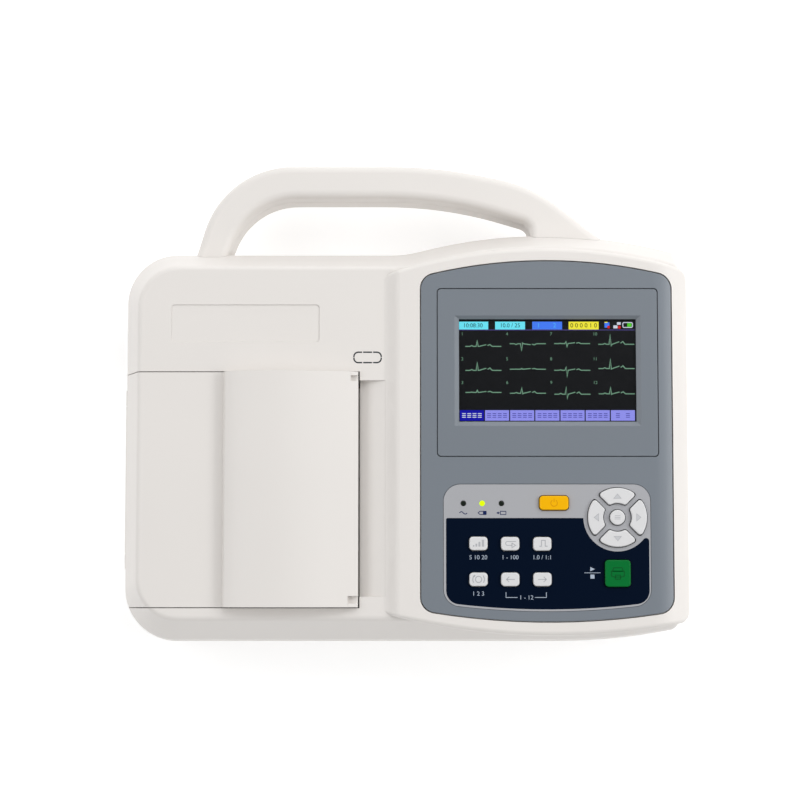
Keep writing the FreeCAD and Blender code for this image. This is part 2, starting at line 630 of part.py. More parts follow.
flat = upper.cut(upper_in).common(box(-150, COVER_FLAT_X, CY0, CY1, CV_EDGE, 70))
bulge = bulge_volume(0, CV_X1, CREST[0][0], 63.5, (-94.9, Z_TOP))
bulge = bulge.cut(bulge_volume(COVER_T, CV_X1 - COVER_T, -91.6, 60.0, (-92.4, 63.0)))
cover = flat.fuse(bulge)
under_bulge = bulge_volume(1.0, CV_X1 - 1.0, -92.0, 30.0, (-93.0, 64.0))
for y0 in RIB_Y:
    rib = box(-37.0, -25.4, y0, y0 + RIB_T, 51.2, 75).common(under_bulge)
    cover = cover.fuse(rib).cut(tube(4.0, 0, y0, y0 + RIB_T, PLATEN))
for x0, y0, y1, over0, over1 in ((-28.2, 9.0, CY1, 0, 1), (-29.6, CY0, -102.7, 1, 0)):
    bed = box(x0 - 1.5, CV_X1, y0 - over1, y1 + over0, 65.2, CORNER_FLAT_Z)
    cover = cover.fuse(bed).cut(box(x0, CV_X1 + 1, y0 - over0, y1 + over1, CORNER_FLAT_Z, 80))
closing = bulge_volume(0.2, CV_X1 - 0.2, -93.4, 63.5, (-94.7, 65.8))
for y0 in (CY0, CY1 - RIB_T):
    cover = cover.fuse(closing.common(box(-96, -20, y0, y0 + RIB_T, 60, 80)))
neck = box(X_LEFT, HINGE[0], *BARREL_Y, HINGE[1], CV_EDGE + 0.5).common(upper)
cover = cover.fuse(neck).fuse(tube(HINGE_R, 0, *BARREL_Y, HINGE))
cover = cover.cut(tube(PIN_R + SHAFT_PLAY, 0, BARREL_Y[0] - 1, BARREL_Y[1] + 1, HINGE))
parts["paper_cover"] = cover.removeSplitter()
parts["cover_hinge_pin"] = tube(PIN_R, 0, HINGE_Y0, HINGE_Y1, HINGE)


# --- paper drive
def gear(z, c, bore, tooth_at):
    """Spur gear about Y with an involute flank; one tooth points along tooth_at degrees in XZ."""
    r = MODULE * z / 2
    rb, ra, rf = r * math.cos(PRESSURE), r + MODULE, r - 1.25 * MODULE
    half = math.pi / (2 * z) - BACKLASH / (2 * r) + math.tan(PRESSURE) - PRESSURE
    flank = [(rf, half)] if rf < rb else []
    r0, steps = max(rb, rf), 5
    for k in range(steps + 1):
        rr = r0 + (ra - r0) * k / steps
        al = math.acos(min(1.0, rb / rr))
        flank.append((rr, half - (math.tan(al) - al)))
    pts = []
    for n in range(z):
        t = math.radians(tooth_at) + 2 * math.pi * n / z
        pts += [(rr, t - h) for rr, h in flank]
        pts += [(rr, t + h) for rr, h in reversed(flank)]
    vs = [V(c[0] + rr * math.cos(t), GEAR_Y0, c[1] + rr * math.sin(t)) for rr, t in pts]
    s = Part.Face(Part.makePolygon(vs + vs[:1])).extrude(V(0, GEAR_Y1 - GEAR_Y0, 0))
    return s.cut(tube(bore, 0, GEAR_Y0, GEAR_Y1, c))


IDLER = (PLATEN[0], PLATEN[1] - MODULE * (Z_PLATEN + Z_IDLER) / 2)
PINION_AT = -67.5       # direction from the idler to the pinion, degrees in XZ
REACH = MODULE * (Z_IDLER + Z_PINION) / 2
PINION = (IDLER[0] + REACH * math.cos(math.radians(PINION_AT)),
          IDLER[1] + REACH * math.sin(math.radians(PINION_AT)))
MOTOR_Y = CHASSIS_Y1 + SHEET

parts["platen_roller"] = tube(PLATEN_R, SHAFT_R, PAPER_Y0, PAPER_Y1, PLATEN)
parts["platen_shaft"] = tube(SHAFT_R, 0, -107.0, 12.8, PLATEN)
parts["platen_gear"] = gear(Z_PLATEN, PLATEN, SHAFT_R, -90)
parts["platen_bushes"] = Part.makeCompound(
    [tube(4.0, SHAFT_R + SHAFT_PLAY, y, y + RIB_T, PLATEN) for y in RIB_Y])
parts["idler_gear"] = gear(Z_IDLER, IDLER, IDLER_R + SHAFT_PLAY, 97.5)
parts["idler_post"] = tube(IDLER_R, 0, 8.7, MOTOR_Y, IDLER)
parts["motor_pinion"] = gear(Z_PINION, PINION, MOTOR_SHAFT_R, PINION_AT + 180 + 180 / Z_PINION)
parts["motor_shaft"] = tube(MOTOR_SHAFT_R, 0, 8.7, 20.0, PINION)
ears = box(PINION[0] - 17, PINION[0] + 17, MOTOR_Y, MOTOR_Y + 0.8, PINION[1] - 4, PINION[1] + 4)
motor = fuse(tube(12.0, 0, MOTOR_Y, 36.0, PINION), ears)
parts["stepper_motor"] = motor.cut(tube(MOTOR_SHAFT_R + SHAFT_PLAY, 0, MOTOR_Y - 0.2, 20.05, PINION))

# --- printer frame
cheek = [(-92, 8), (-14, 8), (-14, 48), (-22, 52), (-40, 58), (-80, 58), (-92, 50)]
front_y = CHASSIS_Y0 - SHEET
ch = fuse(
    profile_y(cheek, CHASSIS_Y1, MOTOR_Y),
    profile_y(cheek, front_y, CHASSIS_Y0),
    box(-92, -14, front_y, MOTOR_Y, 8, 10),
    box(-92, -90, front_y, MOTOR_Y, 8, 35),
    box(-143, -90, -106.5, 13, 33, 35),
)
ch = ch.common(prism(body_outline(20, 4.0), 40))
ch = ch.cut(tube(IDLER_R, 0, CHASSIS_Y1 - 0.2, MOTOR_Y + 0.2, IDLER))
ch = ch.cut(tube(2.4, 0, CHASSIS_Y1 - 0.2, MOTOR_Y + 0.2, PINION))
ch = ch.cut(tube(HUB_R, 0, CHASSIS_Y1 - 0.2, MOTOR_Y + 0.2, ROLL))
ch = ch.cut(tube(HUB_R, 0, front_y - 0.2, CHASSIS_Y0 + 0.2, ROLL))
for x, y in CHASSIS_POSTS:
    ch = ch.cut(cyl(1.6, 3, (x, y, 7.5)))
parts["printer_chassis"] = ch.removeSplitter()
parts["roll_hubs"] = Part.makeCompound([
    fuse(tube(HUB_R, 0, front_y, -97.0, ROLL), tube(11.0, 0, CHASSIS_Y0, -104.6, ROLL)),
    fuse(tube(HUB_R, 0, -1.0, MOTOR_Y, ROLL), tube(11.0, 0, 6.6, CHASSIS_Y1, ROLL)),
])
parts["paper_core"] = tube(CORE_OD / 2, CORE_ID / 2, PAPER_Y0, PAPER_Y1, ROLL)
parts["paper_roll"] = tube(ROLL_OD / 2, CORE_OD / 2, PAPER_Y0, PAPER_Y1, ROLL)
web = [
    (-62.0, 18.4), (-44.0, 16.6), (-33.0, 22.0), (-27.5, 34.0), (-25.6, 46.0), (-25.05, 51.5),
    (-24.9, 51.5), (-25.4, 46.0), (-27.3, 34.0), (-32.85, 21.85), (-43.95, 16.4), (-62.0, 18.2),
]
parts["paper_web"] = profile_y(web, PAPER_Y0, PAPER_Y1)
bracket = fuse(box(-16.5, -15.0, -104, 10, 10, 57.5), box(-24.0, -15.0, -104, 10, 10, 11.5))
parts["head_bracket"] = bracket.cut(cyl(4.2, 5, (-19.5, -96, 8)))
parts["head_sink"] = box(-23.7, -20.9, PAPER_Y0, PAPER_Y1, 47.0, 58.6)
parts["thermal_head"] = box(-24.8, -23.7, PAPER_Y0, PAPER_Y1, 52.2, 58.6)


def coil(x, y, z, r, wire, length, turns):
    """Compression spring along -X from (x, y, z)."""
    helix = Part.makeHelix(length / turns, length, r)
    section = Part.Wire(Part.makeCircle(wire, V(r, 0, 0), V(0, 1, 0)))
    s = Part.Wire(helix).makePipeShell([section], True, True)
    s.rotate(V(0, 0, 0), V(0, 1, 0), -90)
    s.translate(V(x, y, z))
    return s


parts["head_springs"] = Part.makeCompound([coil(-16.8, y, 53.0, 2.6, 0.25, 3.8, 4) for y in (-75.0, -23.0)])

# --- electronics
Z_PARTS = Z_BOARD + BOARD_T
main = box(6, 137, -106, 68, Z_BOARD, Z_PARTS)
for x, y in BOARD_POSTS:
    main = main.cut(cyl(1.5, 3, (x, y, Z_BOARD - 0.5)))
for x, y in SCREWS:
    main = main.cut(cyl(5.5, 5, (x, y, Z_BOARD - 1)))
parts["main_board"] = main
# x, y, width, depth, height of what stands on the main board
CHIPS = [
    (30, 20, 24, 24, 2.2), (62, 24, 14, 20, 1.6), (30, -30, 18, 18, 1.8), (36, -66, 26, 10, 6.0),
    (84, 50, 30, 8, 7.0), (22, 48, 12, 16, 9.0), (60, -92, 20, 8, 5.0),
]
parts["board_chips"] = Part.makeCompound(
    [box(x - a / 2, x + a / 2, y - b / 2, y + b / 2, Z_PARTS, Z_PARTS + h) for x, y, a, b, h in CHIPS])
parts["shield_can"] = box(74, 122, -66, -10, Z_PARTS, Z_PARTS + 7).cut(
    box(74.5, 121.5, -65.5, -10.5, Z_PARTS - 0.1, Z_PARTS + 6.5))
power = box(-127, -40, 22, 62, Z_POWER, Z_POWER + BOARD_T)
for x, y in POWER_POSTS:
    power = power.cut(cyl(1.5, 3, (x, y, Z_POWER - 0.5)))
for x, y in SCREWS:
    power = power.cut(cyl(5.0, 5, (x, y, Z_POWER - 1)))
parts["power_board"] = fuse(power, box(-112, -92, 26, 44, Z_POWER + BOARD_T, Z_POWER + 16))
parts["transformer"] = fuse(box(-86, -54, 26, 56, Z_POWER + BOARD_T, Z_POWER + 22),
                            box(-80, -60, 22, 60, Z_POWER + 4, Z_POWER + 20))
parts["battery_pack"] = rounded(-136, -99, -84, 4, 4, FLOOR + 0.1, 25.0)
door = rounded(wx0 + GAP, wx1 - GAP, wy0 + GAP, wy1 - GAP, 1.0, Z_FOOT, FLOOR)
door = door.cut(cyl(1.6, 5, (*DOOR_SCREW, 2))).cut(cyl(2.7, 2.4, (*DOOR_SCREW, 2)))
parts["battery_door"] = door.cut(rounded(-124, -111, -80.5, -77.5, 1.0, Z_FOOT - 1, Z_FOOT + 0.6))
cone = cyl(15.0, 4.0, (*SPEAKER, FLOOR)).fuse(cyl(9.0, 4.5, (*SPEAKER, FLOOR + 4)))
parts["speaker"] = cone.cut(cyl(13.0, 1.5, (*SPEAKER, FLOOR)))

# --- outside connections
parts["patient_connector"] = fuse(box(128, 141.0, CUFF_Y0, CUFF_Y1, CUFF_Z0, CUFF_Z1),
                                  box(141.0, 144.0, CUFF_Y0 + 6, CUFF_Y1 - 6, 21.0, 31.0))
inlet = fuse(box(-146.6, -128, 22, 48, 10.6, 29.4), box(-147.6, -146.6, 21.6, 48.4, 10.1, 29.9))
inlet = inlet.cut(box(-148, -131, 23.5, 46.5, 12.2, 27.8))
PIN_AT = ((INLET_Y - 6.5, 18.0), (INLET_Y + 6.5, 18.0), (INLET_Y, 21.0))
pins = [box(-145.0, -131.0, y - 1, y + 1, z - 2, z + 2) for y, z in PIN_AT]
parts["mains_inlet"] = Part.makeCompound([inlet] + pins)
parts["earth_terminal"] = fuse(cyl(3.0, 12.0, (-148.2, EARTH_Y, EARTH_Z), (1, 0, 0)),
                               cyl(5.0, 3.0, (-145.0, EARTH_Y, EARTH_Z), (1, 0, 0)))

# --- feet and screws
parts["rubber_feet"] = Part.makeCompound([cyl(7.0, Z_FOOT, (x, y, 0)) for x, y in FEET])


def up_screw(x, y, z, r, length, head_r, head_h):
    """Cross-head screw driven upwards; its head's upper face lies at z."""
    s = fuse(cyl(r, length, (x, y, z)), cyl(head_r, head_h, (x, y, z - head_h)))
    z0, z1 = z - head_h - 0.1, z - head_h + 1.1
    return s.cut(box(x - 2, x + 2, y - 0.4, y + 0.4, z0, z1)).cut(box(x - 0.4, x + 0.4, y - 2, y + 2, z0, z1))


def down_screw(x, y, z, length):
    """Screw driven downwards; the underside of its head lies at z."""
    return fuse(cyl(PILOT_R, length, (x, y, z - length)), cyl(2.6, 1.8, (x, y, z)))


parts["case_screws"] = Part.makeCompound([up_screw(x, y, 24.0, 1.5, 18.0, 2.9, 2.2) for x, y in SCREWS])
small = [fuse(cyl(0.9, 5.2, (x, y, KEY_BOARD_Z)), cyl(1.8, 1.2, (x, y, KEY_BOARD_Z - 1.2)))
         for x, y in KEYPAD_POSTS]
small += [down_screw(x, y, Z_BOARD + BOARD_T, 7.6) for x, y in BOARD_POSTS]
small += [down_screw(x, y, Z_POWER + BOARD_T, 6.0) for x, y in POWER_POSTS]
small += [down_screw(x, y, 10.0, 4.0) for x, y in CHASSIS_POSTS]
small.append(up_screw(*DOOR_SCREW, 4.4, PILOT_R, 6.5, 2.5, 1.2))
parts["small_screws"] = Part.makeCompound(small)

# ---------------------------------------------------------------- export
for name, shape in parts.items():
    if not shape.isValid():
        print("not valid:", name)
    shape.exportStep("parts/%s.step" % name)
print(len(parts), "parts")
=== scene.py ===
"""Looks, fine pieces, light and camera for the ECG recorder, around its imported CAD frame."""

import json
import math

import bpy
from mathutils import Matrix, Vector


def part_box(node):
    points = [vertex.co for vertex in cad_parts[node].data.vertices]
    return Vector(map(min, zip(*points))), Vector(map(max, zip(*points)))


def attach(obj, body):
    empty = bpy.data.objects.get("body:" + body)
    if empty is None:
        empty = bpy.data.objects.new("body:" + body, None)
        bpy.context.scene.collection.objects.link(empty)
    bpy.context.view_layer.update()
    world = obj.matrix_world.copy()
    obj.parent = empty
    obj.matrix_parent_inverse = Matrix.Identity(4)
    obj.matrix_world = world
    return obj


MM = 0.001
ROOT = "case"

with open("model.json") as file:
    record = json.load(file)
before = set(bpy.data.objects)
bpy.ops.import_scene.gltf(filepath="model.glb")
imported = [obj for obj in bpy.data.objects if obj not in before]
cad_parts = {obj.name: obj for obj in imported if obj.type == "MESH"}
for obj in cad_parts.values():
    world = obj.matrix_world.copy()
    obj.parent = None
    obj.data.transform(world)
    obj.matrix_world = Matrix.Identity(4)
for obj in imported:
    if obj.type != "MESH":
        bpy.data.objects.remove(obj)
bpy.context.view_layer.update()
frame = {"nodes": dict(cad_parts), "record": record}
nodes = frame["nodes"]
node_slot = {s["node"]: s["material_slot"] for s in frame["record"]["subparts"]}

# ---------------------------------------------------------------- materials
DRIFT_SCALE, DRIFT_DETAIL = 14.0, 2.0        # slow drift of tone over a part
GRAIN_MM, GRAIN_DEPTH = 0.35, 0.02 * MM      # moulded grain
EDGE_SAMPLES = 4
COAT_ROUGH = 0.12
MIX_A, MIX_B, MIX_OUT = 6, 7, 2              # a Mix node's colour sockets, whose names its other types share
PANE_ROUGH = 0.05                            # a clear pane's reflection:
PANE_MIRROR, PANE_SLANT = 0.04, 0.8          # how strong it is face on, and how much a grazing view adds
PANE_POWER = 5.0                             # how late that part grows


def linear(rgb):
    """sRGB 0-255 to linear."""
    out = []
    for v in rgb:
        v = v / 255
        out.append(v / 12.92 if v <= 0.04045 else ((v + 0.055) / 1.055) ** 2.4)
    return (*out, 1.0)


def material(name, rgb, rough=0.5, metal=0.0, grain=0.0, edge_mm=0.25, coat=0.0, vary=0.02,
             glow=0.0, glow_rgb=None, shine=0.35):
    """Principled surface with moulded grain, a slight drift of tone and softened edges."""
    m = bpy.data.materials.new(name)
    m.use_nodes = True
    nt = m.node_tree
    p = nt.nodes["Principled BSDF"]
    p.inputs["Roughness"].default_value = rough
    p.inputs["Metallic"].default_value = metal
    p.inputs["Specular IOR Level"].default_value = shine
    if coat:
        p.inputs["Coat Weight"].default_value = coat
        p.inputs["Coat Roughness"].default_value = COAT_ROUGH
    where = nt.nodes.new("ShaderNodeTexCoord")
    drift = nt.nodes.new("ShaderNodeTexNoise")
    drift.inputs["Scale"].default_value = DRIFT_SCALE
    drift.inputs["Detail"].default_value = DRIFT_DETAIL
    nt.links.new(where.outputs["Object"], drift.inputs["Vector"])
    mix = nt.nodes.new("ShaderNodeMix")
    mix.data_type = "RGBA"
    base = linear(rgb)
    mix.inputs[MIX_A].default_value = tuple(c * (1 - vary) for c in base[:3]) + (1.0,)
    mix.inputs[MIX_B].default_value = tuple(min(1.0, c * (1 + vary)) for c in base[:3]) + (1.0,)
    nt.links.new(drift.outputs["Fac"], mix.inputs[0])
    nt.links.new(mix.outputs[MIX_OUT], p.inputs["Base Color"])
    edge = nt.nodes.new("ShaderNodeBevel")
    edge.samples = EDGE_SAMPLES
    edge.inputs["Radius"].default_value = edge_mm * MM
    normal = edge.outputs["Normal"]
    if grain:
        fine = nt.nodes.new("ShaderNodeTexNoise")
        fine.inputs["Scale"].default_value = 1.0 / (GRAIN_MM * MM * 2)
        fine.inputs["Detail"].default_value = 1.0
        nt.links.new(where.outputs["Object"], fine.inputs["Vector"])
        bump = nt.nodes.new("ShaderNodeBump")
        bump.inputs["Strength"].default_value = grain
        bump.inputs["Distance"].default_value = GRAIN_DEPTH
        nt.links.new(fine.outputs["Fac"], bump.inputs["Height"])
        nt.links.new(normal, bump.inputs["Normal"])
        normal = bump.outputs["Normal"]
    nt.links.new(normal, p.inputs["Normal"])
    if glow:
        p.inputs["Emission Color"].default_value = linear(glow_rgb or rgb)
        p.inputs["Emission Strength"].default_value = glow
    return m


def clear_material(name, tint):
    """Thin clear sheet: see-through, with a reflection that grows towards a grazing view."""
    m = bpy.data.materials.new(name)
    m.use_nodes = True
    nt = m.node_tree
    nt.nodes.remove(nt.nodes["Principled BSDF"])
    see = nt.nodes.new("ShaderNodeBsdfTransparent")
    see.inputs["Color"].default_value = tint
    shine = nt.nodes.new("ShaderNodeBsdfGlossy")
    shine.inputs["Roughness"].default_value = PANE_ROUGH
    slant = nt.nodes.new("ShaderNodeLayerWeight")
    slant.inputs["Blend"].default_value = 0.5
    steep = nt.nodes.new("ShaderNodeMath")
    steep.operation = "POWER"
    steep.inputs[1].default_value = PANE_POWER
    nt.links.new(slant.outputs["Facing"], steep.inputs[0])
    share = nt.nodes.new("ShaderNodeMath")
    share.operation = "MULTIPLY_ADD"
    share.inputs[1].default_value = PANE_SLANT
    share.inputs[2].default_value = PANE_MIRROR
    nt.links.new(steep.outputs[0], share.inputs[0])
    mix = nt.nodes.new("ShaderNodeMixShader")
    nt.links.new(share.outputs[0], mix.inputs["Fac"])
    nt.links.new(see.outputs[0], mix.inputs[1])
    nt.links.new(shine.outputs[0], mix.inputs[2])
    nt.links.new(mix.outputs[0], nt.nodes["Material Output"].inputs["Surface"])
    return m


LOOKS = {
    "case_white": material("case_white", (226, 222, 218), 0.46, grain=0.25, edge_mm=0.35),
    "bezel_grey": material("bezel_grey", (118, 125, 133), 0.4, grain=0.3, edge_mm=0.35, shine=0.5),
    "frame_grey": material("frame_grey", (117, 124, 132), 0.38, grain=0.3, edge_mm=0.35, shine=0.6),
    "window": clear_material("window", (0.97, 0.98, 0.98, 1.0)),
    "lcd": material("lcd", (12, 13, 17), 0.3, glow=0.02, glow_rgb=(40, 42, 52), edge_mm=0.1),
    "overlay": material("overlay", (168, 169, 173), 0.38, grain=0.15, edge_mm=0.15, coat=0.2),
    "led_dark": material("led_dark", (24, 32, 25), 0.22, edge_mm=0.2, coat=0.4),
    "led_lit": material("led_lit", (150, 190, 0), 0.3, glow=0.75, glow_rgb=(214, 240, 0), edge_mm=0.2),
    "steel": material("steel", (190, 190, 192), 0.3, 0.95),
    "rubber_black": material("rubber_black", (30, 30, 32), 0.8, grain=0.4),
    "gear_white": material("gear_white", (230, 228, 220), 0.5),
    "bush_nylon": material("bush_nylon", (60, 60, 62), 0.55),
    "pinion_brass": material("pinion_brass", (205, 165, 90), 0.3, 0.95),
    "motor_can": material("motor_can", (150, 150, 152), 0.4, 0.9),
    "ceramic": material("ceramic", (236, 233, 224), 0.2),
    "aluminium": material("aluminium", (200, 200, 203), 0.35, 0.9),
    "spring_steel": material("spring_steel", (170, 170, 170), 0.3, 0.95),
    "zinc_sheet": material("zinc_sheet", (178, 180, 184), 0.38, 0.9),
    "inner_black": material("inner_black", (48, 50, 53), 0.6, grain=0.3),
    "hub_grey": material("hub_grey", (112, 114, 117), 0.55, grain=0.2),
    "paper": material("paper", (243, 241, 235), 0.85, grain=0.1),
    "card": material("card", (168, 140, 102), 0.85, grain=0.3),
    "silicone": material("silicone", (52, 54, 58), 0.7, grain=0.2),
    "pcb": material("pcb", (20, 88, 48), 0.3),
    "screw_zinc": material("screw_zinc", (180, 181, 180), 0.3, 0.95),
    "chip_black": material("chip_black", (30, 30, 31), 0.5),
    "tin": material("tin", (200, 200, 198), 0.3, 0.95),
    "winding": material("winding", (120, 92, 42), 0.6, grain=0.3),
    "battery_blue": material("battery_blue", (40, 80, 150), 0.3),
    "speaker_black": material("speaker_black", (36, 36, 38), 0.7, grain=0.4),
    "connector": material("connector", (165, 168, 172), 0.3, 0.9),
    "inlet_black": material("inlet_black", (26, 26, 27), 0.5, grain=0.2),
    "brass": material("brass", (200, 170, 92), 0.28, 0.95),
    "rubber_grey": material("rubber_grey", (70, 70, 73), 0.8, grain=0.4),
    "key_yellow": material("key_yellow", (240, 178, 0), 0.4, grain=0.1, edge_mm=0.2, shine=0.15),
    "key_green": material("key_green", (0, 108, 46), 0.4, grain=0.1, edge_mm=0.2, shine=0.15),
    "key_white": material("key_white", (215, 215, 216), 0.42, grain=0.15, edge_mm=0.2),
}
for name, obj in nodes.items():
    obj.data.materials.clear()
    obj.data.materials.append(LOOKS[node_slot[name]])


def ink(name, rgb, shine=0.15):
    """Flat printed colour."""
    return material(name, rgb, 0.45, vary=0.0, edge_mm=0.02, shine=shine)


def lit(name, rgb, strength=1.0):
    """Colour of the lit screen."""
    return material(name, (4, 4, 5), 0.4, vary=0.0, edge_mm=0.02, glow=strength, glow_rgb=rgb, shine=0.1)


NAVY, DARK_PRINT = ink("navy_print", (1, 13, 33), 0.06), ink("dark_print", (52, 56, 60))
LEGEND, LED_SIGN = ink("legend_print", (168, 180, 196)), ink("led_sign_print", (16, 34, 84))
KEY_SIGN, KEY_FILL = ink("key_sign_print", (176, 177, 181)), ink("key_fill_print", (196, 197, 200))
AMBER_SIGN, GREEN_SIGN = ink("amber_sign_print", (214, 146, 0)), ink("green_sign_print", (3, 76, 32))
CYAN, BLUE = lit("lit_cyan", (112, 236, 255)), lit("lit_blue", (72, 128, 254))
YELLOW, GREEN = lit("lit_yellow", (252, 240, 62)), lit("lit_green", (86, 214, 40))
LAVENDER, INDIGO = lit("lit_lavender", (150, 150, 244)), lit("lit_indigo", (14, 14, 170))
TRACE, WHITE = lit("lit_trace", (118, 160, 134)), lit("lit_white", (215, 220, 235))
RED, PURPLE = lit("lit_red", (215, 40, 40)), lit("lit_purple", (96, 84, 160))
NIGHT, SOFT_BLUE = lit("lit_night", (16, 18, 40), 0.7), lit("lit_soft_blue", (84, 84, 176))
SKY = lit("lit_sky", (90, 190, 255))

# ---------------------------------------------------------------- flat shapes
THIN = 0.03 * MM        # thickness of a print
MITRE_LEAST = 0.4       # keeps the point of a sharp corner short


def rounded_rect(cx, cy, w, h, r, steps=6):
    """Points of a rounded rectangle, millimetres, counter-clockwise."""
    pts = []
    for k, (sx, sy) in enumerate(((1, 1), (-1, 1), (-1, -1), (1, -1))):
        ax, ay = cx + sx * (w / 2 - r), cy + sy * (h / 2 - r)
        for j in range(steps + 1):
            a = math.radians(90 * k + 90 * j / steps)
            pts.append((ax + r * math.cos(a), ay + r * math.sin(a)))
    return pts


def box_between(x0, x1, y, h):
    """A sharp rectangle from x0 to x1, h high about y."""
    return rounded_rect((x0 + x1) / 2, y, x1 - x0, h, 0.05, 1)


def circle(cx, cy, r, steps):
    """Points of a circle."""
    turn = 2 * math.pi / steps
    return [(cx + r * math.cos(turn * k), cy + r * math.sin(turn * k)) for k in range(steps)]


def arc(cx, cy, r, a0, a1, steps):
    """Points on a circle from a0 to a1 degrees."""
    angles = [math.radians(a0 + (a1 - a0) * k / steps) for k in range(steps + 1)]
    return [(cx + r * math.cos(a), cy + r * math.sin(a)) for a in angles]


def finish_piece(name, mesh, look, body):
    """The mesh as a piece with its look and body."""
    obj = bpy.data.objects.new(name, mesh)
    bpy.context.scene.collection.objects.link(obj)
    obj.data.materials.clear()
    obj.data.materials.append(look)
    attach(obj, body)


def curve_mesh(curve):
    """The mesh of a curve or text, which is used up."""
    tmp = bpy.data.objects.new(curve.name + "_t", curve)
    bpy.context.scene.collection.objects.link(tmp)
    dg = bpy.context.evaluated_depsgraph_get()
    mesh = bpy.data.meshes.new_from_object(tmp.evaluated_get(dg))
    bpy.data.objects.remove(tmp)
    bpy.data.curves.remove(curve)
    return mesh


def plate(name, outlines, z, look, body=ROOT, thick=THIN, faces_right=False):
    """Flat plate through closed outlines in mm; outlines inside another one are holes.

    It lies face up with its underside at z mm, or stands facing +X with its back at x = z mm and its
    outlines in (y, z).
    """
    cu = bpy.data.curves.new(name + "_c", "CURVE")
    cu.dimensions = "2D"
    cu.fill_mode = "BOTH"
    cu.extrude = thick / 2
    for pts in outlines:
        sp = cu.splines.new("POLY")
        sp.points.add(len(pts) - 1)
        for q, (x, y) in zip(sp.points, pts):
            q.co = (x * MM, y * MM, 0, 1)
        sp.use_cyclic_u = True
    mesh = curve_mesh(cu)
    for v in mesh.vertices:
        v.co.z += z * MM + thick / 2
        if faces_right:
            v.co = (v.co.z, v.co.x, v.co.y)
    mesh.name = name
    finish_piece(name, mesh, look, body)


def stroke(points, width, closed):
    """Left and right edge of a line of that width through points, with mitred corners."""
    n = len(points)
    left, right = [], []
    for k in range(n):
        p = Vector(points[k])
        before = Vector(points[k - 1]) if (k > 0 or closed) else None
        after = Vector(points[(k + 1) % n]) if (k < n - 1 or closed) else None
        da = (p - before).normalized() if before is not None else (after - p).normalized()
        db = (after - p).normalized() if after is not None else da
        t = da + db
        t = t.normalized() if t.length > 1e-6 else da
        across = Vector((-t.y, t.x))
        mitre = max(MITRE_LEAST, across.dot(Vector((-da.y, da.x))))
        left.append(tuple(p + across * width / 2 / mitre))
        right.append(tuple(p - across * width / 2 / mitre))
    return left, right


def points_of(line):
    """A line's points and whether it is closed: a closed line is written (points, True)."""
    closed = isinstance(line, tuple) and isinstance(line[1], bool)
    return (line[0], True) if closed else (line, False)


def strip(name, lines, width, z, look, body=ROOT):
    """Several lines of that width as one flat mesh."""
    verts, faces = [], []
    for line in lines:
        pts, closed = points_of(line)
        n = len(pts)
        base = len(verts)
        for up in (0, THIN / MM):
            for side in stroke(pts, width, closed):
                verts += [(x * MM, y * MM, (z + up) * MM) for x, y in side]
        lo_l, lo_r, hi_l, hi_r = base, base + n, base + 2 * n, base + 3 * n
        for k in range(n if closed else n - 1):
            j = (k + 1) % n
            faces.append((hi_l + k, hi_r + k, hi_r + j, hi_l + j))
            faces.append((lo_l + j, lo_r + j, lo_r + k, lo_l + k))
            faces.append((lo_l + k, hi_l + k, hi_l + j, lo_l + j))
            faces.append((lo_r + j, hi_r + j, hi_r + k, lo_r + k))
        if not closed:
            last = n - 1
            faces.append((lo_l, lo_r, hi_r, hi_l))
            faces.append((hi_l + last, hi_r + last, lo_r + last, lo_l + last))
    mesh = bpy.data.meshes.new(name)
    mesh.from_pydata(verts, [], faces)
    mesh.validate()
    finish_piece(name, mesh, look, body)


def digits(name, items, size, z, look):
    """Numerals as one flat mesh; items are (text, x, y) with x, y the middle of the text, mm."""
    verts, faces = [], []
    for text, x, y in items:
        cu = bpy.data.curves.new(name + "_f", "FONT")
        cu.body = text
        cu.size = size * MM
        cu.align_x = "CENTER"
        cu.align_y = "CENTER"
        cu.extrude = THIN / 2
        me = curve_mesh(cu)
        base = len(verts)
        verts += [(v.co.x + x * MM, v.co.y + y * MM, v.co.z + z * MM + THIN / 2) for v in me.vertices]
        faces += [tuple(base + i for i in f.vertices) for f in me.polygons]
        bpy.data.meshes.remove(me)
    mesh = bpy.data.meshes.new(name)
    mesh.from_pydata(verts, [], faces)
    mesh.validate()
    finish_piece(name, mesh, look, ROOT)


def corners(node):
    """A node's lowest and highest corner, mm."""
    return [Vector(c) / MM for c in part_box(node)]


def mid(node):
    """Middle of a node in plan and its top, mm."""
    lo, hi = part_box(node)
    return (lo[0] + hi[0]) / 2 / MM, (lo[1] + hi[1]) / 2 / MM, hi[2] / MM


# ---------------------------------------------------------------- key panel
PAD_X, PAD_Y = mid("key_menu")[:2]
PANEL_LO, PANEL_HI = corners("keypad_overlay")
PANEL_TOP = PANEL_HI.z
PRINT_Z = PANEL_TOP + THIN / MM      # second layer of print
KEY_CLEAR = 0.4                      # slot round each key
KEY_FLANGE = 1.1                     # hidden rim under the panel, wider than the key all round
HOLE_R = 2.3                         # corners of the print's hole round a key
NAVY_KEYS = ("key_sens", "key_recall", "key_copy", "key_mode", "key_prev", "key_next", "key_start")
NAVY_TOP = -62.4                     # upper edge of the navy field
NAVY_CHAMFER, NAVY_CORNER = 0.6, 7.0
PAD_CLEAR = 17.6                     # silver disc round the ring of arrow keys
TIP_R = 1.6                          # rounded tip between the disc and the right edge
BOW_C, BOW_R = (73.6, 289.2), 400.0  # bowed front edge of the panel
RIM_L, RIM_R, RIM_FRONT = 1.25, 0.75, 1.25      # silver rim outside the navy field
BOW_STEPS = 24


